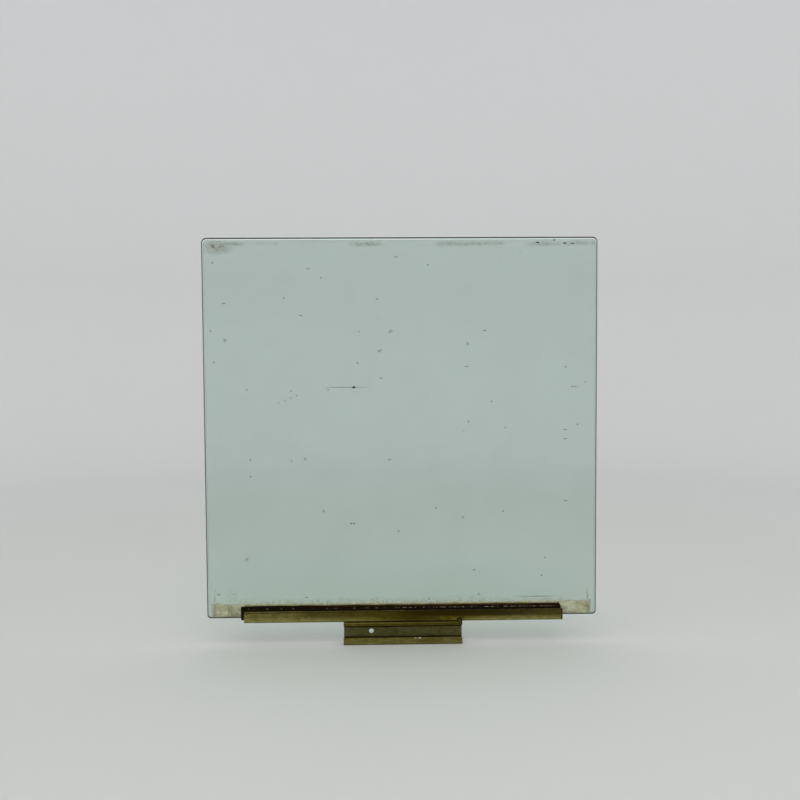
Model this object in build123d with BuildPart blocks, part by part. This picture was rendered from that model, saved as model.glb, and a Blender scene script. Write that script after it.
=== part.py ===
from build123d import *

# Drop glass of a vehicle door, with the rubber-lined channel that grips its lower edge and the lift
# rail under the channel, which a window regulator's roller runs in.
#
# Frame, in millimetres: X runs along the glass, Y through its thickness and Z up. The rail opens
# towards -Y. The origin is under the middle of the glass, level with the underside of the rail.

# Lift rail: a C section with a short upper lip and a taller lower one
rail_length = 152.5
rail_offset = 0.6
rail_height = 29.5
rail_depth = 13.0
rail_back = 7.0
rail_sheet = 1.5
rail_bend = 3.0
upper_lip = 4.5
lower_lip = 9.2
lip_corner = 1.0

# Locating hole through the rail's web
hole_diameter = 6.3
hole_x = -40.3

# Lift channel: a U section with slightly flared edges
channel_length = 409.0
channel_offset = 1.7
channel_height = 15.2
channel_sheet = 1.2
channel_bend = 3.0
flare_height = 2.2
flare_width = 0.5
channel_corner = 1.2

# Glass pane, with ground and rounded edges
glass_width = 500.0
glass_height = 484.0
glass_thickness = 4.0
glass_top_corner = 6.5
glass_bottom_corner = 4.5
glass_edge_round = 1.4
glass_seat = 6.3

# Glazing rubber: a U section whose free edges stand proud as two ribs with a groove between them
rubber_length = 410.0
rubber_offset = -1.5
rubber_wall = 1.8
rubber_base = 2.7
rubber_proud = 7.0
rubber_bottom_round = 2.4
rib_reach = 0.9
rib_lean = 0.3
rib_gap = 0.25
groove_below_top = 3.6
groove_width = 0.7

# Welds that join the channel's base to the rail's upper flange
spot_diameter = 4.0
spot_depth = 0.7
spot_count = 4
spot_pitch = 40.0
tack_radius = 2.8
tack_reach = 1.5
tack_x = 73.2
tack_rise = 1.9

# Levels and faces worked out from the driving sizes
seam_z = rail_height
glass_bottom = seam_z + glass_seat
glass_middle = glass_bottom + glass_height / 2
rail_front = rail_back - rail_depth
web_front = rail_back - rail_sheet
rubber_half = glass_thickness / 2 + rubber_wall
channel_half = rubber_half + channel_sheet
channel_top = seam_z + channel_height
rubber_top = channel_top + rubber_proud
groove_z = rubber_top - groove_below_top
flare_z = channel_top - flare_height
tack_y = tack_reach - rail_back


def spot_weld_places():
    """Centres of the spot welds: a row along X on the seam between the channel and the rail."""
    first = rail_offset - spot_pitch * (spot_count - 1) / 2
    return [(first + spot_pitch * n, 0, seam_z) for n in range(spot_count)]


# Glass pane
with BuildPart() as glass_pane:
    with BuildSketch(Plane.XZ) as glass_outline:
        with Locations((0, glass_middle)):
            Rectangle(glass_width, glass_height)
        fillet(glass_outline.vertices().group_by(Axis.Y)[-1], radius=glass_top_corner)
        fillet(glass_outline.vertices().group_by(Axis.Y)[0], radius=glass_bottom_corner)
    extrude(amount=glass_thickness / 2, both=True)
    fillet(glass_pane.faces().filter_by(Axis.Y).edges(), radius=glass_edge_round)
glass_pane.part.label = "glass_pane"
export_step(glass_pane.part, "parts/glass_pane.step")

# Glazing rubber: one side of the section is drawn and mirrored, then carried along X
with BuildPart() as glazing_rubber:
    with BuildSketch(Plane.YZ.offset(rubber_offset - rubber_length / 2)) as rubber_section:
        with BuildLine() as rubber_side:
            rib_bottom = channel_top + rib_gap
            groove_low = groove_z - groove_width / 2
            groove_high = groove_z + groove_width / 2
            Polyline(
                (0, glass_bottom - rubber_base),
                (rubber_half, glass_bottom - rubber_base),
                (rubber_half, rib_bottom),
            )
            SagittaArc((rubber_half, rib_bottom), (rubber_half, groove_low), -rib_reach)
            Line((rubber_half, groove_low), (rubber_half, groove_high))
            SagittaArc((rubber_half, groove_high), (rubber_half - rib_lean, rubber_top), -rib_reach)
            Polyline(
                (rubber_half - rib_lean, rubber_top),
                (glass_thickness / 2, rubber_top),
                (glass_thickness / 2, glass_bottom),
                (0, glass_bottom),
                (0, glass_bottom - rubber_base),
            )
        make_face()
        fillet(rubber_section.vertices().group_by(Axis.Y)[0].sort_by(Axis.X)[-1], radius=rubber_bottom_round)
        mirror(about=Plane.YZ)
    extrude(amount=rubber_length)
glazing_rubber.part.label = "glazing_rubber"
export_step(glazing_rubber.part, "parts/glazing_rubber.step")

# Lift channel
with BuildPart() as lift_channel:
    with BuildSketch(Plane.YZ.offset(channel_offset - channel_length / 2)) as channel_section:
        with BuildLine():
            Polyline(
                (0, seam_z),
                (channel_half, seam_z),
                (channel_half, flare_z),
                (channel_half + flare_width, channel_top),
                (rubber_half + flare_width, channel_top),
                (rubber_half, flare_z),
                (rubber_half, seam_z + channel_sheet),
                (0, seam_z + channel_sheet),
                close=True,
            )
        make_face()
        fillet(
            channel_section.vertices().group_by(Axis.Y)[1].sort_by(Axis.X)[-1],
            radius=channel_bend - channel_sheet,
        )
        fillet(channel_section.vertices().group_by(Axis.Y)[0].sort_by(Axis.X)[-1], radius=channel_bend)
        fillet(channel_section.vertices().group_by(Axis.Y)[-2], radius=2 * flare_height)
        mirror(about=Plane.YZ)
    extrude(amount=channel_length)
    fillet(lift_channel.edges().filter_by(Axis.Y).group_by(Axis.Z)[-1], radius=channel_corner)
    with Locations(*spot_weld_places()):
        Cylinder(radius=spot_diameter / 2, height=2 * spot_depth, mode=Mode.SUBTRACT)
lift_channel.part.label = "lift_channel"
export_step(lift_channel.part, "parts/lift_channel.step")

# Lift rail
with BuildPart() as lift_rail:
    with BuildSketch(Plane.YZ.offset(rail_offset - rail_length / 2)) as rail_section:
        with BuildLine():
            Polyline(
                (rail_front, lower_lip),
                (rail_front, 0),
                (rail_back, 0),
                (rail_back, rail_height),
                (rail_front, rail_height),
                (rail_front, rail_height - upper_lip),
                (rail_front + rail_sheet, rail_height - upper_lip),
                (rail_front + rail_sheet, rail_height - rail_sheet),
                (web_front, rail_height - rail_sheet),
                (web_front, rail_sheet),
                (rail_front + rail_sheet, rail_sheet),
                (rail_front + rail_sheet, lower_lip),
                close=True,
            )
        make_face()
        inner_corners = rail_section.vertices().filter_by_position(
            Axis.Y, rail_sheet, rail_sheet
        ) + rail_section.vertices().filter_by_position(
            Axis.Y, rail_height - rail_sheet, rail_height - rail_sheet
        )
        fillet(inner_corners, radius=rail_bend - rail_sheet)
        outer_corners = (
            rail_section.vertices().group_by(Axis.Y)[0] + rail_section.vertices().group_by(Axis.Y)[-1]
        )
        fillet(outer_corners, radius=rail_bend)
    extrude(amount=rail_length)
    end_edges = lift_rail.edges().filter_by(Axis.Y).group_by(Axis.Z)
    fillet(end_edges[2] + end_edges[3], radius=lip_corner)
    with Locations(Plane(origin=(hole_x, web_front, rail_height / 2), z_dir=(0, -1, 0))):
        Hole(radius=hole_diameter / 2)
    with Locations(*spot_weld_places()):
        Cylinder(radius=spot_diameter / 2, height=2 * spot_depth, mode=Mode.SUBTRACT)
lift_rail.part.label = "lift_rail"
export_step(lift_rail.part, "parts/lift_rail.step")

# Spot welds: one nugget at each place, half in each sheet
with BuildPart() as spot_welds:
    with Locations(*spot_weld_places()):
        Cylinder(radius=spot_diameter / 2, height=2 * spot_depth)
spot_welds.part.label = "spot_welds"
export_step(spot_welds.part, "parts/spot_welds.step")

# Tack weld: a round bead over the front of the seam, near the rail's right end
with BuildPart() as tack_weld:
    bead_centre = (tack_x, tack_y, seam_z + tack_rise)
    with BuildSketch(Plane(origin=bead_centre, x_dir=(1, 0, 0), z_dir=(0, 0, 1))):
        Ellipse(tack_radius, tack_reach)
        Rectangle(tack_radius, 2 * tack_reach, align=(Align.MAX, Align.CENTER), mode=Mode.SUBTRACT)
    revolve(axis=Axis(bead_centre, (0, 1, 0)))
    add(lift_channel.part, mode=Mode.SUBTRACT)
    add(lift_rail.part, mode=Mode.SUBTRACT)
tack_weld.part.label = "tack_weld"
export_step(tack_weld.part, "parts/tack_weld.step")
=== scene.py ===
"""Looks for a vehicle's drop glass: tinted pane, glazing rubber, lift channel, lift rail and welds.

Everything is in metres and in the part's own frame: X along the glass, Y through its thickness and
Z up, with the rail open towards -Y and the origin under the middle of the glass at floor level.
"""

import math

import bpy
import numpy as np
from mathutils import Matrix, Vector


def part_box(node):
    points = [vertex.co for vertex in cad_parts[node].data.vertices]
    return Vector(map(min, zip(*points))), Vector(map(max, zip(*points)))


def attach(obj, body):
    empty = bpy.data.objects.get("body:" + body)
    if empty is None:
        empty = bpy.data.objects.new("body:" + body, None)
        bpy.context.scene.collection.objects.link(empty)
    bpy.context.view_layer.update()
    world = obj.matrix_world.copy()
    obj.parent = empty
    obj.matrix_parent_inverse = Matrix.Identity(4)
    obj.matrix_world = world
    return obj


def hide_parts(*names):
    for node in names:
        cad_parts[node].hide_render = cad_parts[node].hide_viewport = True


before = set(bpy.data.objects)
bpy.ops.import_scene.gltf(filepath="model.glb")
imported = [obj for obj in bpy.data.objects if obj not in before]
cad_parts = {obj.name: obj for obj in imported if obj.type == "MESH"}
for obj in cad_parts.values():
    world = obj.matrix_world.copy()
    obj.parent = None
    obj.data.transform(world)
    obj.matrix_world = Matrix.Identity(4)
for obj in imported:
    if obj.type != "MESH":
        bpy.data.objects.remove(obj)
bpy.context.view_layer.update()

MM = 0.001


# Places and sizes, from the boxes of the fixed parts

pane_low, pane_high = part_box("glass_pane")
rubber_low, rubber_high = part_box("glazing_rubber")
channel_low, channel_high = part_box("lift_channel")
rail_low, rail_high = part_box("lift_rail")
tack_low, tack_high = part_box("tack_weld")

half_glass = (pane_high.y - pane_low.y) / 2
pane_bottom = pane_low.z
pane_top = pane_high.z
seam = rail_high.z
hole_x = -40.3 * MM
hole_radius = 3.15 * MM
rail_middle = (rail_low.z + rail_high.z) / 2
lower_lip_top = 9.2 * MM
tack_x = (tack_low.x + tack_high.x) / 2
tack_z = (tack_low.z + tack_high.z) / 2

# Walls and bends, which the boxes don't give

rubber_wall = 1.8 * MM
rib_reach = 0.9 * MM
groove_z = rubber_high.z - 3.6 * MM
half_groove = 0.35 * MM
channel_sheet = 1.2 * MM
rail_sheet = 1.5 * MM
sheet_bend = 3.0 * MM


# Surfaces from arrays


def slow_noise(x, seed, spacing):
    """Smooth random wave of x between -1 and 1: random knots one spacing apart, joined by cosine eases."""
    first = math.floor(float(np.min(x)) / spacing)
    knots = np.random.default_rng(seed).uniform(-1, 1, 4096)
    steps = x / spacing - first
    below = np.floor(steps).astype(int)
    ease = (1 - np.cos(np.pi * (steps - below))) / 2
    return knots[below] * (1 - ease) + knots[below + 1] * ease


def arc(centre, radius, start, end, count):
    """Points on a circle about centre, from start to end degrees."""
    turn = np.radians(np.linspace(start, end, count))
    return np.stack([centre[0] + radius * np.cos(turn), centre[1] + radius * np.sin(turn)], axis=1)


def grid_faces(rows, columns, wrap_columns):
    """Four-sided faces of a grid numbered row by row; a wrapped grid's last column joins its first."""
    row = np.arange(rows - 1)[:, None]
    column = np.arange(columns if wrap_columns else columns - 1)[None, :]
    after = (column + 1) % columns
    corners = (
        row * columns + column,
        row * columns + after,
        (row + 1) * columns + after,
        (row + 1) * columns + column,
    )
    return np.stack(corners, axis=-1).reshape(-1, 4)


def closed_tube(name, rings, sharp=35.0):
    """Mesh of closed rings (rows x points x 3), each joined to the next, with a flat cap on the first
    and the last. The faces are turned to point outwards, by the sign of the volume that they hold."""
    rows, columns = rings.shape[:2]
    quads = grid_faces(rows, columns, True)
    points = rings.reshape(-1, 3)
    first_cap = np.arange(columns)[::-1]
    last_cap = np.arange(columns) + (rows - 1) * columns
    volume = 0.0
    for loops in (quads, first_cap[None, :], last_cap[None, :]):
        corner = points[loops]
        for k in range(1, loops.shape[1] - 1):
            volume += np.einsum("ij,ij->", corner[:, 0], np.cross(corner[:, k], corner[:, k + 1]))
    faces = quads.tolist() + [first_cap.tolist(), last_cap.tolist()]
    if volume < 0:
        faces = [face[::-1] for face in faces]
    mesh = bpy.data.meshes.new(name)
    mesh.from_pydata(points.tolist(), [], faces)
    mesh.polygons.foreach_set("use_smooth", np.ones(len(faces), bool))
    mesh.set_sharp_from_angle(angle=math.radians(sharp))
    mesh.validate()
    return mesh


def shown(name, mesh, material):
    """Object with that mesh and material, at the origin."""
    made = bpy.data.objects.new(name, mesh)
    made.data.materials.append(material)
    bpy.context.scene.collection.objects.link(made)
    return made


def stations(low, high, step, end_step):
    """Places along X: evenly spaced, and closer together over the last few millimetres of each end."""
    near = np.concatenate([[0.0], np.geomspace(end_step, 6 * MM, 12)])
    middle = np.linspace(low + 6 * MM, high - 6 * MM, int((high - low) / step))
    return np.concatenate([low + near[:-1], middle, (high - near[:-1])[::-1]])


def end_drop(x, low, high, radius):
    """How far a corner of that radius has taken the edge down at x: the depth of a quarter circle."""
    inside = np.minimum(x - low, high - x)
    run = np.clip(radius - inside, 0, radius)
    return radius - np.sqrt(radius**2 - run**2)


# Pane


def rounded_loop(inset, corner_points=14):
    """Outline of the pane, drawn in by inset: four quarter circles joined by straight sides."""
    left = pane_low.x + inset
    right = pane_high.x - inset
    bottom = pane_bottom + inset
    top = pane_top - inset
    upper = max(6.5 * MM - inset, 0.4 * MM)
    lower = max(4.5 * MM - inset, 0.4 * MM)
    return np.concatenate(
        [
            arc((right - upper, top - upper), upper, 0, 90, corner_points),
            arc((left + upper, top - upper), upper, 90, 180, corner_points),
            arc((left + lower, bottom + lower), lower, 180, 270, corner_points),
            arc((right - lower, bottom + lower), lower, 270, 360, corner_points),
        ]
    )


def pane_mesh():
    """Pane with a pencil-ground edge. Ring by ring, the outline's inset is e(1 - sin a) while its depth
    is e(1 - cos a) from each face, for a from 0 to 90 degrees and an edge radius e; a ring just
    inside each face keeps the face itself flat."""
    edge = 1.4 * MM
    angles = np.radians(np.linspace(0, 90, 12))
    insets = np.concatenate([[edge + 0.5 * MM], edge * (1 - np.sin(angles))])
    depths = np.concatenate([[0.0], edge * (1 - np.cos(angles))])
    rings = []
    for inset, depth in zip(insets, depths):
        loop = rounded_loop(inset)
        rings.append(np.stack([loop[:, 0], np.full(len(loop), depth - half_glass), loop[:, 1]], axis=1))
    back = [ring * (1, -1, 1) for ring in rings[::-1]]
    return closed_tube("pane", np.array(rings + back), sharp=30.0)


# Glazing rubber


def rubber_side():
    """Half section of the rubber, from under the glass round its outside to the top and down beside
    the glass: a rounded foot, two round ribs with a groove between them, and a blunt top."""
    wall = half_glass + rubber_wall
    foot = 2.4 * MM
    rib_low = channel_high.z + 0.25 * MM
    low_rib = (groove_z - half_groove - rib_low) / 2
    top_rib = (rubber_high.z - groove_z - half_groove) / 2
    low_turn = np.radians(np.linspace(-90, 90, 12))
    lower = np.stack([wall + rib_reach * np.cos(low_turn), rib_low + low_rib * (1 + np.sin(low_turn))], axis=1)
    upper = np.stack(
        [wall + rib_reach * np.cos(low_turn), groove_z + half_groove + top_rib * (1 + np.sin(low_turn))], axis=1
    )
    inner = [
        (half_glass + 0.35 * MM, rubber_high.z),
        (half_glass, rubber_high.z - 0.5 * MM),
        (half_glass, pane_bottom),
    ]
    foot_arc = arc((wall - foot, rubber_low.z + foot), foot, -90, 0, 8)
    return np.concatenate([foot_arc, lower, upper, np.array(inner)])


def rubber_mesh():
    """Rubber strip: the section carried along X, its ribs swelling and its top edge dipping slowly by
    a few tenths of a millimetre, with the top edge falling away at both ends."""
    side = rubber_side()
    section = np.concatenate([side, side[::-1] * (-1, 1)])
    x = stations(rubber_low.x, rubber_high.x, 1.6 * MM, 0.3 * MM)
    wall = half_glass + rubber_wall
    depth = section[None, :, 0]
    height = section[None, :, 1]
    proud = np.clip((height - channel_high.z) / (rubber_high.z - channel_high.z), 0, 1)
    bulge = np.clip((np.abs(depth) - wall) / rib_reach, 0, 1)
    swell = slow_noise(x, 5, 9 * MM) * 0.13 * MM + slow_noise(x, 6, 2.5 * MM) * 0.05 * MM
    dip = (slow_noise(x, 7, 14 * MM) + 1) * 0.16 * MM + (slow_noise(x, 8, 3 * MM) + 1) * 0.05 * MM
    left_fall = np.clip(1 - (x - rubber_low.x) / (7 * MM), 0, 1) * 1.0 * MM
    right_fall = np.clip(1 - (rubber_high.x - x) / (2.2 * MM), 0, 1) ** 2 * 2.4 * MM
    rings = np.zeros((len(x), len(section), 3))
    rings[:, :, 0] = x[:, None]
    rings[:, :, 1] = depth + np.sign(depth) * bulge * (swell[:, None] - 0.1 * MM)
    rings[:, :, 2] = height - proud**2 * (dip + left_fall + right_fall)[:, None]
    return closed_tube("rubber_strip", rings, sharp=40.0)


# Lift channel


def channel_outline():
    """Half section of the channel: out along the underside, round the bend and up the outside to the
    flared edge, then back down the inside."""
    half = half_glass + rubber_wall + channel_sheet
    flare = 0.5 * MM
    flare_z = channel_high.z - 2.2 * MM
    rise = np.linspace(0, 1, 7)[1:]
    outside = arc((half - sheet_bend, seam + sheet_bend), sheet_bend, -90, 0, 10)
    flared = np.stack([half + flare * rise**2, flare_z + (channel_high.z - flare_z) * rise], axis=1)
    inner_flare = flared[::-1] - (channel_sheet, 0)
    inside = arc((half - sheet_bend, seam + sheet_bend), sheet_bend - channel_sheet, 0, -90, 8)
    outer = [outside, [(half, flare_z)], flared]
    inner = [inner_flare, [(half - channel_sheet, flare_z)], inside]
    return np.concatenate(outer + inner)


def channel_mesh():
    """Channel: the section carried along X. The edges wander in and out by a tenth of a millimetre or
    two, and their end corners are rounded."""
    side = channel_outline()
    section = np.concatenate([side, side[::-1] * (-1, 1)])
    x = stations(channel_low.x, channel_high.x, 2.2 * MM, 0.12 * MM)
    depth = section[None, :, 0]
    height = section[None, :, 1]
    up = np.clip((height - seam) / (channel_high.z - seam), 0, 1)
    front = slow_noise(x, 11, 22 * MM) * 0.12 * MM + slow_noise(x, 12, 6 * MM) * 0.04 * MM
    back = slow_noise(x, 13, 22 * MM) * 0.12 * MM + slow_noise(x, 14, 6 * MM) * 0.04 * MM
    wander = np.where(depth < 0, front[:, None], back[:, None]) - 0.05 * MM
    drop = end_drop(x, channel_low.x, channel_high.x, 1.2 * MM)
    rings = np.zeros((len(x), len(section), 3))
    rings[:, :, 0] = x[:, None]
    rings[:, :, 1] = depth + np.sign(depth) * up**3 * wander
    rings[:, :, 2] = height - up**6 * drop[:, None]
    return closed_tube("channel_steel", rings, sharp=40.0)


# Lift rail


def rail_section():
    """Closed section of the rail: round the outside from the lower lip's edge to the upper lip's, then
    back round the inside, with every bend a quarter circle."""
    front = rail_low.y
    back = rail_high.y
    top = rail_high.z
    upper_lip = top - 4.5 * MM
    outside = [
        [(front, lower_lip_top)],
        arc((front + sheet_bend, sheet_bend), sheet_bend, 180, 270, 9),
        arc((back - sheet_bend, sheet_bend), sheet_bend, 270, 360, 9),
        arc((back - sheet_bend, top - sheet_bend), sheet_bend, 0, 90, 9),
        arc((front + sheet_bend, top - sheet_bend), sheet_bend, 90, 180, 9),
        [(front, upper_lip)],
    ]
    inner = sheet_bend - rail_sheet
    inside = [
        [(front + rail_sheet, upper_lip)],
        arc((front + sheet_bend, top - sheet_bend), inner, 180, 90, 6),
        arc((back - sheet_bend, top - sheet_bend), inner, 90, 0, 6),
        arc((back - sheet_bend, sheet_bend), inner, 360, 270, 6),
        arc((front + sheet_bend, sheet_bend), inner, 270, 180, 6),
        [(front + rail_sheet, lower_lip_top)],
    ]
    return np.concatenate([np.array(run, float) for run in outside + inside])


def rail_mesh():
    """Rail: the section carried along X, with the lips' free edges a little wavy and their end corners
    rounded."""
    section = rail_section()
    x = stations(rail_low.x, rail_high.x, 2.0 * MM, 0.12 * MM)
    depth = section[None, :, 0]
    height = section[None, :, 1]
    in_lip = np.clip(1 - (depth - rail_low.y) / (1.6 * MM), 0, 1)
    upper = in_lip * np.clip((height - rail_middle) / (2 * MM), 0, 1) * (height < rail_high.z - 3.5 * MM)
    lower = in_lip * np.clip((rail_middle - height) / (2 * MM), 0, 1) * (height > 8 * MM)
    wave = slow_noise(x, 21, 11 * MM) * 0.1 * MM
    drop = end_drop(x, rail_low.x, rail_high.x, 1.0 * MM)
    rings = np.zeros((len(x), len(section), 3))
    rings[:, :, 0] = x[:, None]
    rings[:, :, 1] = depth
    rings[:, :, 2] = height + upper * (drop + wave)[:, None] - lower * (drop - wave)[:, None]
    return closed_tube("rail_steel", rings, sharp=40.0)


def drill(piece, x, z, radius):
    """Cuts a round hole along Y right through the piece, at x and z."""
    loop = arc((x, z), radius, 0, 360, 65)[:-1]
    rings = [np.stack([loop[:, 0], np.full(len(loop), y), loop[:, 1]], axis=1) for y in (-0.02, 0.02)]
    cutter = bpy.data.objects.new("drill", closed_tube("drill", np.array(rings)))
    bpy.context.scene.collection.objects.link(cutter)
    cut = piece.modifiers.new("hole", "BOOLEAN")
    cut.operation = "DIFFERENCE"
    cut.solver = "EXACT"
    cut.object = cutter
    bpy.context.view_layer.update()
    holed = bpy.data.meshes.new_from_object(piece.evaluated_get(bpy.context.evaluated_depsgraph_get()))
    piece.modifiers.clear()
    piece.data = holed
    bpy.data.objects.remove(cutter)


def soften(piece, width):
    """Takes the sharpness off cut edges with a narrow bevel."""
    edge = piece.modifiers.new("edge", "BEVEL")
    edge.width = width
    edge.segments = 2
    edge.limit_method = "ANGLE"
    edge.angle_limit = math.radians(50)
    edge.harden_normals = False


# Weld bead


def bead_mesh():
    """Round weld bead: a ball flattened along Y, its outline and its crown rippled by
    1 + a sin(k angle), with a small crater in the middle of its front."""
    turn = np.linspace(0, 2 * np.pi, 49)[:-1]
    tilt = np.linspace(0, np.pi, 25)[1:-1]
    radius = 2.8 * MM
    reach = 1.5 * MM
    centre_y = tack_low.y + reach
    outline = 1 + 0.05 * np.sin(3 * turn + 0.7) + 0.03 * np.sin(5 * turn)
    flat = np.sin(tilt)[:, None] * outline[None, :]
    ripple = 1 + 0.05 * np.cos(9 * tilt)[:, None] + 0.04 * np.sin(4 * turn + 1.0)[None, :]
    crater = 1 - 0.3 * np.exp(-((tilt[:, None] / 0.45) ** 2))
    rings = np.zeros((len(tilt), len(turn), 3))
    rings[:, :, 0] = tack_x + radius * 0.93 * flat * np.cos(turn)
    rings[:, :, 1] = centre_y - reach * 0.92 * np.cos(tilt)[:, None] * ripple * crater
    rings[:, :, 2] = tack_z + radius * 0.93 * flat * np.sin(turn)
    return closed_tube("weld_bead", rings, sharp=60.0)


# Materials


class Wire:
    """An output of a material's node. Arithmetic on wires and numbers adds Math nodes."""

    def __init__(self, finish, socket):
        self.finish = finish
        self.socket = socket

    def maths(self, operation, *values):
        return self.finish.node(
            "ShaderNodeMath", {"operation": operation}, dict(enumerate(values))
        )

    def __add__(self, other):
        return self.maths("ADD", self, other)

    def __radd__(self, other):
        return self.maths("ADD", other, self)

    def __sub__(self, other):
        return self.maths("SUBTRACT", self, other)

    def __rsub__(self, other):
        return self.maths("SUBTRACT", other, self)

    def __mul__(self, other):
        return self.maths("MULTIPLY", self, other)

    def __rmul__(self, other):
        return self.maths("MULTIPLY", other, self)

    def __truediv__(self, other):
        return self.maths("DIVIDE", self, other)

    def __pow__(self, other):
        return self.maths("POWER", self, other)

    def __abs__(self):
        return self.maths("ABSOLUTE", self)

    def at_most(self, other):
        return self.maths("MINIMUM", self, other)

    def at_least(self, other):
        return self.maths("MAXIMUM", self, other)

    def ease(self, start, end, most=1.0):
        """0 before start and most after end, smooth between; start may be the larger."""
        settings = {"interpolation_type": "SMOOTHSTEP", "clamp": False}
        values = {"Value": self, "From Min": start, "From Max": end, "To Min": 0.0, "To Max": most}
        return self.finish.node("ShaderNodeMapRange", settings, values)

    def near(self, place, width):
        """1 at place, falling smoothly to 0 one width away on either side."""
        return abs(self - place).ease(width, 0.0)


class Finish:
    """A material being made. node() makes every node."""

    def __init__(self, name):
        self.material = bpy.data.materials.new(name)
        self.material.use_nodes = True
        self.tree = self.material.node_tree
        self.tree.nodes.clear()
        self.place = self.node("ShaderNodeTexCoord", output="Object")
        parts = self.node("ShaderNodeSeparateXYZ", inputs={0: self.place}).socket.node.outputs
        self.x, self.y, self.z = [Wire(self, parts[n]) for n in range(3)]

    def node(self, kind, settings=None, inputs=None, output=0):
        made = self.tree.nodes.new(kind)
        for key, value in (settings or {}).items():
            setattr(made, key, value)
        for key, value in (inputs or {}).items():
            if isinstance(value, Wire):
                self.tree.links.new(value.socket, made.inputs[key])
            else:
                made.inputs[key].default_value = value
        return Wire(self, made.outputs[output])

    def stretched(self, scale, shift=(0.0, 0.0, 0.0)):
        """The place, multiplied by scale along each axis, then shifted."""
        values = {0: self.place, 1: scale, 2: shift}
        return self.node("ShaderNodeVectorMath", {"operation": "MULTIPLY_ADD"}, values)

    def noise(self, scale, detail=3.0, roughness=0.55, shift=(0.0, 0.0, 0.0)):
        """Noise from 0 to 1 with scale waves to the metre along each axis."""
        place = self.stretched(scale, shift)
        values = {"Vector": place, "Scale": 1.0, "Detail": detail, "Roughness": roughness}
        return self.node("ShaderNodeTexNoise", inputs=values)

    def mix(self, share, first, second):
        """Colour mixed from first to second by share."""
        values = {0: share, 6: first, 7: second}
        return self.node("ShaderNodeMix", {"data_type": "RGBA"}, values, output=2)

    def blob(self, x, z, wide, high):
        """1 at the middle of an ellipse about x and z, 0 at its outline."""
        across = (self.x - x) / wide
        up = (self.z - z) / high
        return (across * across + up * up).ease(1.0, 0.0)

    def bump(self, height, distance, strength=1.0):
        values = {"Height": height, "Distance": distance, "Strength": strength}
        return self.node("ShaderNodeBump", inputs=values)

    def done(self, surface, volume=None):
        out = self.tree.nodes.new("ShaderNodeOutputMaterial")
        self.tree.links.new(surface.socket, out.inputs["Surface"])
        if volume is not None:
            self.tree.links.new(volume.socket, out.inputs["Volume"])
        return self.material


def colour(red, green, blue):
    return (red, green, blue, 1.0)


def jogged(f, waves, across, up):
    """The place on the pane's face, moved at random by at most half of across and half of up, with waves
    to the metre."""
    values = {"Vector": f.place, "Scale": waves, "Detail": 3.0}
    drawn = f.node("ShaderNodeTexNoise", inputs=values, output="Color")
    centred = f.node("ShaderNodeVectorMath", {"operation": "SUBTRACT"}, {0: drawn, 1: (0.5, 0.5, 0.5)})
    shift = {0: centred, 1: (across, 0.0, up), 2: f.stretched((1.0, 0.0, 1.0))}
    return f.node("ShaderNodeVectorMath", {"operation": "MULTIPLY_ADD"}, shift)


def ellipse(f, place, x, z, length, width):
    """Distance from the middle of an ellipse in units of its own half length and half width, so 1 on its
    outline."""
    turned = {"Vector": place, "Location": (x, 0.0, z), "Scale": (length, 1.0, width)}
    around = f.node("ShaderNodeMapping", {"vector_type": "TEXTURE"}, turned)
    return f.node("ShaderNodeVectorMath", {"operation": "LENGTH"}, {0: around}, output="Value")


def strewn(f, place, wide, tall, size, share, core, seed):
    """Marks strewn at random, at most one to a cell of wide by tall. A share of the cells have one, which
    fades out at size of a cell from its middle and is full within core of that."""
    flat = {
        "Vector": place,
        "Location": (seed, seed, 0.0),
        "Rotation": (-math.pi / 2, 0.0, 0.0),
        "Scale": (1 / wide, 0.0, 1 / tall),
    }
    spread = f.node("ShaderNodeMapping", {"vector_type": "POINT"}, flat)
    kind = {"voronoi_dimensions": "2D", "feature": "F1"}
    cells = {"Vector": spread, "Scale": 1.0, "Randomness": 1.0}
    reach = f.node("ShaderNodeTexVoronoi", kind, cells)
    shade = f.node("ShaderNodeTexVoronoi", kind, cells, output="Color")
    chosen = f.node("ShaderNodeSeparateColor", inputs={0: shade})
    return reach.ease(size, size * core) * chosen.ease(1 - share, 1.05 - share)


def standing_marks(f, place):
    """The few dark marks that stand out, each at a share of the pane's width and height: a long scratch
    with a dot on it, a rising row of four dots, three lone dots, a pair, and a scratch low on the right."""
    width = pane_high.x - pane_low.x
    height = pane_top - pane_bottom

    def mark(across, up, length, thick, strength, past=0.0, over=0.0):
        x = pane_low.x + across * width + past
        z = pane_bottom + up * height + over
        return ellipse(f, place, x, z, length * MM, thick * MM).ease(1.1, 0.5, strength)

    total = mark(0.36, 0.61, 32, 0.55, 0.6)
    for found in (
        mark(0.38, 0.61, 2.8, 1.7, 1.0),
        mark(0.85, 0.05, 32, 0.6, 0.6),
        mark(0.92, 0.66, 1.0, 1.0, 1.0),
        mark(0.73, 0.57, 1.1, 0.8, 1.0),
        mark(0.97, 0.62, 0.8, 0.8, 0.8),
        mark(0.37, 0.25, 1.3, 1.1, 1.0),
        mark(0.37, 0.25, 1.2, 1.0, 1.0, 4 * MM),
    ):
        total = total.at_least(found)
    for step in range(4):
        total = total.at_least(mark(0.19, 0.57, 0.9, 0.8, 0.7, step * 7.5 * MM, step * 3 * MM))
    return total


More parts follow.
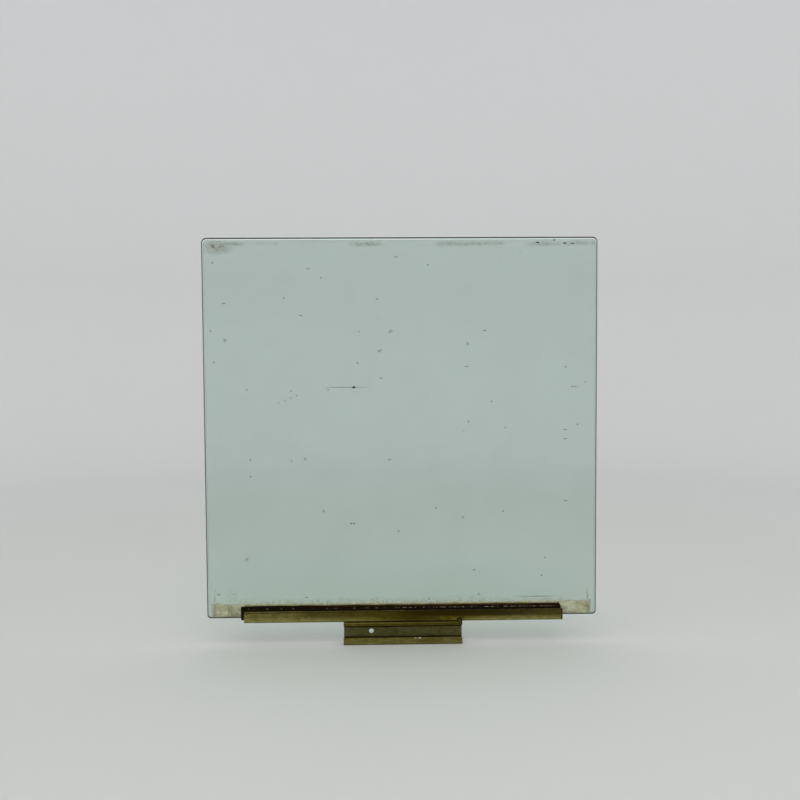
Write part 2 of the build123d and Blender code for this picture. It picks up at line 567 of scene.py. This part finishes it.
def edge_distance(f):
    """How far in from the pane's rounded outline a point is: r - |max(q, 0)| - min(max(q), 0), with q
    the distances past the corner centres."""
    half_wide = (pane_high.x - pane_low.x) / 2
    half_high = (pane_top - pane_bottom) / 2
    up = f.z - (pane_top + pane_bottom) / 2
    radius = 4.5 * MM + up.ease(-0.1, 0.1, 2.0 * MM)
    past_x = abs(f.x) - half_wide + radius
    past_z = abs(up) - half_high + radius
    out_x = past_x.at_least(0.0)
    out_z = past_z.at_least(0.0)
    corner = (out_x * out_x + out_z * out_z) ** 0.5
    return radius - corner - past_x.at_least(past_z).at_most(0.0)


def tinted_glass():
    """Faintly green glass with a ground edge painted with a dark outline of shade and a highlight line, brown
    smears and old paint along its top, residue along its bottom, and specks, dashes and a few scratches
    between."""
    f = Finish("tinted_glass")
    from_bottom = f.z - pane_bottom
    grain = f.noise((260.0, 260.0, 260.0), 4.0, 0.65)
    cloud = f.noise((45.0, 45.0, 70.0), 3.0, 0.6, (3.1, 0.0, 5.2))
    streak = f.noise((22.0, 22.0, 320.0), 2.0, 0.5, (1.7, 0.0, 9.1))
    front = f.y.ease(-half_glass * 0.4, -half_glass * 0.8)
    inset = edge_distance(f)

    # No mark has a clean outline
    rough_place = jogged(f, 420.0, 1.2 * MM, 1.2 * MM)
    smeared_place = jogged(f, 130.0, 7 * MM, 3.5 * MM)
    from_top = pane_top - f.z

    # Dark specks and dashes strewn over the pane, and flecks of old paint along the right of its top
    specks = standing_marks(f, rough_place)
    specks = specks.at_least(strewn(f, rough_place, 46 * MM, 46 * MM, 0.026, 0.3, 0.5, 3.0) * 0.7)
    specks = specks.at_least(strewn(f, rough_place, 110 * MM, 30 * MM, 0.027, 0.3, 0.5, 7.0) * 0.6)
    along_top = from_top.near(6.5 * MM, 4.5 * MM).ease(0.2, 0.4) * f.x.ease(85 * MM, 95 * MM)
    specks = specks.at_least(strewn(f, rough_place, 15 * MM, 6 * MM, 0.19, 0.6, 0.5, 11.0) * along_top)

    # Brown smears: one in the top left corner, patches along the top, and a few strewn lower down
    left, top = pane_low.x, pane_top
    smears = ellipse(f, smeared_place, left + 14 * MM, top - 11 * MM, 6.5 * MM, 4.5 * MM).ease(1.1, 0.0)
    wide_smear = ellipse(f, smeared_place, left + 20 * MM, top - 12 * MM, 26 * MM, 12 * MM)
    smears = smears.at_least(wide_smear.ease(1.1, 0.0, 0.5))
    patches = f.noise((16.0, 0.0, 30.0), 2.0, 0.5, (6.3, 0.0, 0.0)).ease(0.45, 0.65)
    smears = smears.at_least(from_top.near(8.5 * MM, 5 * MM) * patches * 0.5)
    smears = smears.at_least(strewn(f, smeared_place, 95 * MM, 95 * MM, 0.038, 0.4, 0.0, 5.0) * 0.55)
    smears = smears * (0.45 + 0.9 * grain.ease(0.25, 0.75))

    # Faint drying streaks along the top, and small random specks everywhere
    top_band = from_top.ease(15 * MM, 4 * MM) * streak.ease(0.45, 0.75) * 0.12
    cells = {"Vector": f.stretched((70.0, 0.0, 70.0)), "Scale": 1.0, "Randomness": 1.0}
    centre = f.node("ShaderNodeTexVoronoi", {"feature": "F1"}, cells)
    chance = f.node("ShaderNodeTexVoronoi", {"feature": "F1"}, cells, output="Color")
    chosen = f.node("ShaderNodeSeparateColor", inputs={0: chance})
    dust = centre.ease(0.075, 0.03) * chosen.ease(0.5, 1.0) * 0.34
    film = f.noise((9.0, 9.0, 14.0), 3.0, 0.6).ease(0.35, 0.8) * 0.05

    # Residue beside and above the rubber, clear of the strip that the door's run covered
    beyond = abs(f.x + 0.5 * MM)
    clear_edge = beyond.ease(245.0 * MM, 241.5 * MM)
    ragged = from_bottom + (cloud - 0.5) * 9 * MM + (grain - 0.5) * 3 * MM
    beside = ragged.ease(19.3 * MM, 17.5 * MM) * beyond.ease(202 * MM, 205 * MM)
    blotch = 0.56 + 0.3 * grain.ease(0.3, 0.65)
    tide = ragged.near(18.4 * MM, 1.1 * MM) * beyond.ease(205 * MM, 209 * MM) * 0.6
    tail_x = beyond + (cloud - 0.5) * 4 * MM
    tail = tail_x.near(239.5 * MM, 2.6 * MM) * from_bottom.ease(42 * MM, 20 * MM) * grain.ease(0.3, 0.5) * 0.6
    above = ragged.ease(19.3 * MM, 17.7 * MM) * 0.75
    haze_top = from_bottom + (cloud - 0.5) * 14 * MM + (grain - 0.5) * 6 * MM
    fuzzy = haze_top.ease(28 * MM, 18 * MM) * (0.12 + grain.ease(0.3, 0.75) * 0.42)
    residue = (beside * blotch * clear_edge).at_least(tide * clear_edge).at_least(tail)
    residue = residue.at_least((above.at_least(fuzzy)) * beyond.ease(216 * MM, 205 * MM))
    curl = f.x.near(-217 * MM, 9 * MM) * f.z.near(64 * MM, 13 * MM)
    curl = curl * (grain - 0.5).near(0.0, 0.05) * 0.75
    residue = residue.at_least(curl)

    brown = f.mix(cloud, colour(0.08, 0.075, 0.04), colour(0.2, 0.185, 0.12))
    cream = f.mix(grain.ease(0.3, 0.65), colour(0.57, 0.555, 0.335), colour(0.355, 0.335, 0.155))
    stain = cloud.ease(0.42, 0.58) * from_bottom.ease(24 * MM, 6 * MM)
    cream = f.mix(stain * 0.8, cream, colour(0.17, 0.13, 0.035))
    crumbs = f.noise((480.0, 480.0, 480.0), 3.0, 0.7, (4.4, 0.0, 2.8)).ease(0.54, 0.68)
    cream = f.mix(crumbs * from_bottom.ease(21 * MM, 4 * MM) * 0.6, cream, colour(0.1, 0.08, 0.022))
    dark_line = tide.at_least(from_bottom.ease(3.4 * MM, 1.8 * MM)).at_least(tail).at_least(curl)
    cream = f.mix(dark_line * grain.ease(0.2, 0.7), cream, colour(0.1, 0.09, 0.035))
    dirt = f.mix(from_bottom.ease(60 * MM, 40 * MM), brown, cream)
    dirt = f.mix(specks.ease(0.05, 0.2), dirt, colour(0.014, 0.02, 0.02))
    cover = smears.at_least(specks).at_least(top_band).at_least(dust).at_least(film).at_least(residue)
    cover = (cover * front).at_most(1.0)

    # Ground edge: painted shade as a dark outline at the rim, darkest along the top and bottom, and a painted
    # highlight as a pale line just inside it, strongest near the top
    above_middle = abs(f.z - (pane_top + pane_bottom) / 2)
    half_tall = (pane_top - pane_bottom) / 2
    ends = above_middle.ease(half_tall - 4 * MM, half_tall - 2.4 * MM)
    painted_dark_rim = (inset - ends * 0.45 * MM).ease(1.35 * MM, 0.95 * MM)
    near_top = f.z.ease(pane_top - 9 * MM, pane_top - 4 * MM)
    painted_highlight_line = (inset - near_top * 0.5 * MM).near(2.2 * MM, 1.2 * MM) * (0.26 + near_top * 0.7)
    painted_highlight_line = painted_highlight_line * (1 - beside * clear_edge)
    # The dark colours below are the painted shade of the rim; the pale colour is the painted highlight line
    ground = f.mix(grain, colour(0.055, 0.075, 0.062), colour(0.11, 0.14, 0.12))
    ground = f.mix(ends * 0.85, ground, colour(0.012, 0.018, 0.013))
    edge = f.mix(painted_dark_rim, colour(0.9, 0.95, 0.92), ground)

    clear = f.node(
        "ShaderNodeBsdfPrincipled",
        inputs={
            "Base Color": colour(1.0, 1.0, 1.0),
            "Roughness": 0.0,
            "IOR": 1.52,
            "Transmission Weight": 1.0,
        },
    )
    painted_edge_share = (painted_dark_rim * 0.92).at_least(painted_highlight_line)
    surface_colour = f.mix(painted_edge_share.ease(0.0, 0.3), dirt, edge)
    # This diffuse layer carries the real dirt together with the painted edge shade and highlight
    grime_and_painted_edge = f.node("ShaderNodeBsdfPrincipled", inputs={"Base Color": surface_colour, "Roughness": 0.8})
    glass = f.node("ShaderNodeMixShader", inputs={0: cover.at_least(painted_edge_share), 1: clear, 2: grime_and_painted_edge})
    lamp = f.node("ShaderNodeLightPath", output="Is Shadow Ray")
    through = f.node("ShaderNodeBsdfTransparent", inputs={0: colour(0.80, 0.86, 0.83)})
    surface = f.node("ShaderNodeMixShader", inputs={0: lamp, 1: glass, 2: through})
    tint = {"Color": colour(0.0, 0.42, 0.27), "Density": 90.0}
    return f.done(surface, f.node("ShaderNodeVolumeAbsorption", inputs=tint))


def passivated_steel(name, pale, grime_and_shade, highlight_and_polish, chipped):
    """Yellow-passivated sheet steel, dulled to olive, with brown stains and streaks along X. The four
    functions after the name say where the film is paler grey-green, where dirt is packed and shade is
    painted into recesses, seams and under edges, where bends and edges get painted highlights as well
    as polish, and where it is chipped."""
    f = Finish(name)
    mottle = f.noise((110.0, 160.0, 210.0), 4.0, 0.62)
    patches = f.noise((30.0, 40.0, 90.0), 3.0, 0.6, (7.3, 0.0, 1.1))
    streaks = f.noise((35.0, 900.0, 900.0), 3.0, 0.5, (0.0, 4.2, 0.0))
    grain = f.noise((900.0, 900.0, 900.0), 2.0, 0.6)
    speckle = f.noise((330.0, 420.0, 480.0), 3.0, 0.7, (2.2, 0.0, 6.4))
    olive = f.mix(mottle.ease(0.25, 0.75), colour(0.06, 0.045, 0.002), colour(0.135, 0.108, 0.007))
    film = f.mix(mottle.ease(0.25, 0.75), colour(0.165, 0.15, 0.04), colour(0.275, 0.262, 0.1))
    brown = f.mix(grain, colour(0.034, 0.02, 0.002), colour(0.1, 0.06, 0.01))
    base = f.mix(pale(f, patches), olive, film)
    base = f.mix(patches.ease(0.52, 0.7) * 0.6, base, brown)
    base = f.mix(streaks.ease(0.5, 0.75) * 0.3, base, colour(0.13, 0.11, 0.02))
    # Painted highlights on bends and edges, with some polish, lightening the colour
    painted_highlight_and_polish = highlight_and_polish(f) * (0.35 + 0.65 * mottle.ease(0.3, 0.6))
    base = f.mix(painted_highlight_and_polish * 0.7, base, colour(0.3, 0.275, 0.08))
    base = f.mix(speckle.ease(0.55, 0.68) * 0.5, base, colour(0.035, 0.019, 0.002))
    flecks = speckle.ease(0.4, 0.3) * mottle.ease(0.45, 0.6)
    base = f.mix(flecks * 0.45, base, colour(0.26, 0.23, 0.08))
    # Packed dirt together with painted shade in recesses, seams and under edges, darkening the colour
    dirt = (grime_and_shade(f) * (0.6 + 0.6 * mottle + 0.2 * grain)).at_most(1.0)
    base = f.mix(dirt * 0.95, base, colour(0.016, 0.009, 0.001))
    rough = 0.4 + 0.2 * mottle + 0.25 * dirt
    base = f.mix(chipped(f, grain), base, colour(0.5, 0.49, 0.42))
    relief = f.bump(mottle * 0.5 + streaks * 0.3 + grain * 0.25 + speckle * 0.3, 0.25 * MM, 0.6)
    shader = f.node(
        "ShaderNodeBsdfPrincipled",
        inputs={
            "Base Color": base,
            "Metallic": 0.4,
            "Roughness": rough,
            "Specular IOR Level": 0.06,
            "Normal": relief,
        },
    )
    return f.done(shader)


def channel_pale(f, patches):
    """The film is palest at the left end; along the lower half of the front it is paler too, a painted
    reflection of the bright floor.
    """
    left = f.x.ease(20 * MM, -190 * MM)
    right = f.x.ease(50 * MM, 150 * MM, 0.75)
    # Painted reflection: the lower part of the front is made paler
    low = f.z.ease(seam + 9 * MM, seam + 4 * MM)
    return ((left.at_least(right) + (patches - 0.5) * 0.7) * (0.45 + 0.6 * low)).at_most(1.0).at_least(0.0)


def channel_highlights(f):
    # Painted highlights: a glint along the top edge and a reflection of the floor along the lower bend,
    # stronger towards the ends
    lip = f.z.near(channel_high.z - 0.2 * MM, 0.6 * MM) * 0.45
    ends = 0.25 + f.x.ease(10 * MM, -120 * MM, 0.75).at_least(f.x.ease(40 * MM, 130 * MM, 0.75))
    bend = f.z.near(seam + 2.6 * MM, 1.9 * MM) * ends
    return lip.at_least(bend)


def channel_grime_and_shade(f):
    outside = abs(f.y).ease(half_glass + 1.9 * MM, half_glass + 2.6 * MM)
    # Painted shade: a dark line under the flared top edge
    line = f.z.near(channel_high.z - 1.7 * MM, 1.3 * MM) * 0.75 * outside
    # The upper part of the front is darker from the middle rightwards: partly painted shade of the dim room
    # reflected there, partly the steel's own darker tone
    upper_front_darker = f.x.ease(-150 * MM, -110 * MM, 0.45) + f.x.ease(-25 * MM, 25 * MM, 0.42)
    upper_front_darker = upper_front_darker * f.z.ease(seam + 4.5 * MM, seam + 9 * MM) * (1 - f.x.ease(115 * MM, 200 * MM, 0.35))
    middle = f.x.near(15 * MM, 65 * MM) * 0.6
    cut_end = f.x.ease(channel_high.x - 2.8 * MM, channel_high.x - 1.2 * MM) * 0.9
    # Painted shade in the seam along the bottom, where the rail meets the channel
    under = f.z.ease(seam + 0.7 * MM, seam + 0.1 * MM) * 0.8
    burn = f.blob(tack_x, tack_z, 4.6 * MM, 4.2 * MM).ease(0.0, 0.5) * 0.9
    return line.at_least(under).at_least(burn).at_least(middle).at_least(upper_front_darker).at_least(cut_end)


def channel_chipped(f, grain):
    """Nicks along the top of the front lip."""
    outside = abs(f.y).ease(half_glass + 1.9 * MM, half_glass + 2.6 * MM)
    return f.z.near(channel_high.z - 0.2 * MM, 0.7 * MM) * grain.ease(0.56, 0.66) * outside * 0.4


def rail_pale(f, patches):
    """The web keeps most of the grey-green film, the lips less."""
    inside = f.y.ease(rail_low.y + 2.0 * MM, rail_low.y + 4.0 * MM)
    lower = f.z.ease(12 * MM, 8 * MM) * 0.5
    return (inside.at_least(lower) + (patches - 0.5) * 0.5).at_most(1.0).at_least(0.0)


def rail_highlights(f):
    # Painted highlights along the upper and lower bends of the lips, and a paler worn line along the upper
    # lip's lower edge
    lips = f.y.ease(rail_low.y + 3.0 * MM, rail_low.y + 2.2 * MM)
    top = f.z.near(rail_high.z - 1.0 * MM, 1.2 * MM) * 0.55
    lip_edge = f.z.near(rail_high.z - 4.2 * MM, 0.7 * MM) * 0.3
    bottom = f.z.near(2.4 * MM, 1.3 * MM) * 0.6
    return lips * top.at_least(bottom).at_least(lip_edge)


def rail_chipped(f, grain):
    """Two chips on the edge of the lower lip, right of the middle."""
    on_lip = f.y.ease(rail_low.y + 3.0 * MM, rail_low.y + 2.2 * MM)
    large = f.blob(22 * MM, lower_lip_top - 0.3 * MM, 2.2 * MM, 1.2 * MM)
    small = f.blob(16.6 * MM, lower_lip_top - 0.2 * MM, 1.5 * MM, 0.8 * MM)
    return (large.at_least(small) * (0.7 + grain)).ease(0.15, 0.5) * on_lip


def rail_grime_and_shade(f):
    inside = f.y.ease(rail_low.y + 1.2 * MM, rail_low.y + 1.7 * MM)
    # Painted shade over the web, recessed behind the lips
    web = inside * 0.36
    upper_lip = f.z.ease(19 * MM, 21 * MM) * (0.2 + f.x.ease(-75 * MM, 20 * MM, 0.35))
    # Painted shade on the web: a dark line under the upper lip and a darker band down behind the lower lip
    shade = inside * f.z.ease(18.8 * MM, 20.2 * MM) * 0.97
    corner = inside * f.z.ease(9.6 * MM, 7.0 * MM)
    # Painted shade under the rail's bottom edge and in the seam under the channel
    under = f.z.ease(1.0 * MM, 0.1 * MM) * 0.7
    joint = f.z.ease(rail_high.z - 0.5 * MM, rail_high.z - 0.1 * MM) * 0.8
    return shade.at_least(corner * 0.95).at_least(under).at_least(joint).at_least(web).at_least(upper_lip)


def aged_rubber():
    """Dark brown-black rubber: reddish along its top edge to the right, with pale dashes along
    its groove."""
    f = Finish("aged_rubber")
    grain = f.noise((500.0, 700.0, 700.0), 3.0, 0.6)
    cloud = f.noise((60.0, 200.0, 200.0), 3.0, 0.6)
    dashes = f.noise((170.0, 0.0, 60.0), 3.0, 0.6, (2.0, 0.0, 0.0)) + f.x.ease(-150 * MM, 120 * MM, 0.1)
    in_groove = f.z.near(groove_z, 0.8 * MM) * dashes.ease(0.56, 0.66)
    red = f.z.near(rubber_high.z - 0.6 * MM, 1.5 * MM) * cloud.ease(0.3, 0.7) * f.x.ease(-150 * MM, 50 * MM)
    base = f.mix(grain, colour(0.004, 0.0018, 0.0002), colour(0.013, 0.0065, 0.001))
    base = f.mix(red * 0.7, base, colour(0.09, 0.045, 0.01))
    base = f.mix(in_groove * 0.85, base, colour(0.3, 0.27, 0.17))
    relief = f.bump(grain + cloud, 0.2 * MM, 0.5)
    shader = f.node(
        "ShaderNodeBsdfPrincipled",
        inputs={
            "Base Color": base,
            "Roughness": 0.6 + 0.3 * grain,
            "Specular IOR Level": 0.06,
            "Normal": relief,
        },
    )
    return f.done(shader)


def weld_metal():
    """Weld metal: olive-brown with dark oxide in its hollows and round its foot."""
    f = Finish("weld_metal")
    grain = f.noise((900.0, 900.0, 900.0), 3.0, 0.6)
    cloud = f.noise((300.0, 300.0, 300.0), 2.0, 0.5)
    crown = f.blob(tack_x, tack_z, 2.3 * MM, 2.1 * MM)
    base = f.mix(grain, colour(0.03, 0.02, 0.005), colour(0.1, 0.075, 0.022))
    base = f.mix(cloud.ease(0.5, 0.7), base, colour(0.03, 0.02, 0.006))
    base = f.mix(crown.ease(0.25, 0.0), base, colour(0.016, 0.011, 0.003))
    shader = f.node(
        "ShaderNodeBsdfPrincipled",
        inputs={
            "Base Color": base,
            "Metallic": 0.4,
            "Roughness": 0.5 + 0.3 * cloud,
            "Specular IOR Level": 0.1,
            "Normal": f.bump(grain, 0.3 * MM, 0.7),
        },
    )
    return f.done(shader)


def pale_stage():
    """Pale paper, a little darker round the middle of the floor than where it curves up into a wall."""
    f = Finish("pale_stage")
    cloud = f.noise((2.0, 2.0, 2.0), 2.0, 0.5)
    away = (f.x * f.x + f.y * f.y) ** 0.5
    floor = f.mix(cloud, colour(0.55, 0.555, 0.53), colour(0.575, 0.58, 0.56))
    wall = f.mix(f.z.ease(0.0, 0.9), colour(0.69, 0.692, 0.69), colour(0.742, 0.744, 0.747))
    base = f.mix(away.ease(0.5, 2.3), floor, wall)
    shader = {"Base Color": base, "Roughness": 0.75}
    return f.done(f.node("ShaderNodeBsdfPrincipled", inputs=shader))


# Pieces on the fixed parts

glass = tinted_glass()
rubber = aged_rubber()
# Each steel gets its wear together with painted highlights and painted shade
channel_wear_and_painted_light = (channel_pale, channel_grime_and_shade, channel_highlights, channel_chipped)
channel_steel = passivated_steel("channel_steel", *channel_wear_and_painted_light)
rail_wear_and_painted_light = (rail_pale, rail_grime_and_shade, rail_highlights, rail_chipped)
rail_steel = passivated_steel("rail_steel", *rail_wear_and_painted_light)
weld = weld_metal()

pane = shown("pane", pane_mesh(), glass)
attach(pane, "root")
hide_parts("glass_pane")

strip = shown("rubber_strip", rubber_mesh(), rubber)
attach(strip, "root")
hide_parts("glazing_rubber")

channel = shown("channel", channel_mesh(), channel_steel)
soften(channel, 0.2 * MM)
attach(channel, "root")
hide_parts("lift_channel")

rail = shown("rail", rail_mesh(), rail_steel)
drill(rail, hole_x, rail_middle, hole_radius)
soften(rail, 0.2 * MM)
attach(rail, "root")
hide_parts("lift_rail")

bead = shown("weld_bead", bead_mesh(), weld)
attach(bead, "root")
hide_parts("tack_weld")

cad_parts["spot_welds"].data.materials.clear()
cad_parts["spot_welds"].data.materials.append(weld)


# Stage, lights and camera


def stage_mesh():
    """Round floor that curves up into a wall all the way round: a profile of radius and height, turned
    about the Z axis."""
    bend = arc((1.7, 0.7), 0.7, -90, 0, 24)
    profile = np.concatenate([[(0.002, 0.0), (0.6, 0.0), (1.2, 0.0)], bend, [(2.4, 1.6), (2.4, 2.6)]])
    turn = np.linspace(0, 2 * np.pi, 97)[:-1]
    points = np.zeros((len(profile), len(turn), 3))
    points[:, :, 0] = profile[:, :1] * np.cos(turn)
    points[:, :, 1] = profile[:, :1] * np.sin(turn)
    points[:, :, 2] = profile[:, 1:]
    faces = grid_faces(len(profile), len(turn), True).tolist() + [list(range(len(turn)))]
    mesh = bpy.data.meshes.new("stage")
    mesh.from_pydata(points.reshape(-1, 3).tolist(), [], faces)
    mesh.polygons.foreach_set("use_smooth", np.ones(len(faces), bool))
    return mesh


def soft_light(name, place, target, size, power, tone):
    """Square area light at place, facing target."""
    data = bpy.data.lights.new(name, "AREA")
    data.size = size
    data.energy = power
    data.color = tone
    made = bpy.data.objects.new(name, data)
    bpy.context.scene.collection.objects.link(made)
    back = Matrix.Translation(place).to_translation() - Matrix.Translation(target).to_translation()
    made.matrix_world = Matrix.Translation(place) @ back.to_track_quat("Z", "Y").to_matrix().to_4x4()
    made.visible_transmission = False
    return made


stage = shown("stage", stage_mesh(), pale_stage())

soft_light("overhead", (0.0, -0.3, 2.5), (0.0, 0.0, 0.0), 2.2, 20.0, (1.0, 0.99, 0.97))
soft_light("front_light", (0.3, -1.8, 1.9), (0.0, 0.0, 0.1), 1.5, 14.0, (1.0, 1.0, 0.99))

world = bpy.data.worlds.new("room")
world.use_nodes = True
world.node_tree.nodes["Background"].inputs["Color"].default_value = (0.9, 0.93, 0.95, 1.0)
world.node_tree.nodes["Background"].inputs["Strength"].default_value = 0.8
bpy.context.scene.world = world

lens = bpy.data.cameras.new("camera")
lens.sensor_width = 36.0
lens.lens = 36.0
lens.clip_start = 0.01
camera = bpy.data.objects.new("camera", lens)
bpy.context.scene.collection.objects.link(camera)
camera_place = (-0.0209, -1.0172, pane_bottom + 0.3248)
camera_turn, camera_tilt, camera_roll = (math.radians(a) for a in (-1.096, 90 - 2.605, -0.354))
camera.matrix_world = (
    Matrix.Translation(camera_place)
    @ Matrix.Rotation(camera_turn, 4, "Z")
    @ Matrix.Rotation(camera_tilt, 4, "X")
    @ Matrix.Rotation(camera_roll, 4, "Z")
)
bpy.context.scene.camera = camera
bpy.context.scene.view_settings.view_transform = "Standard"
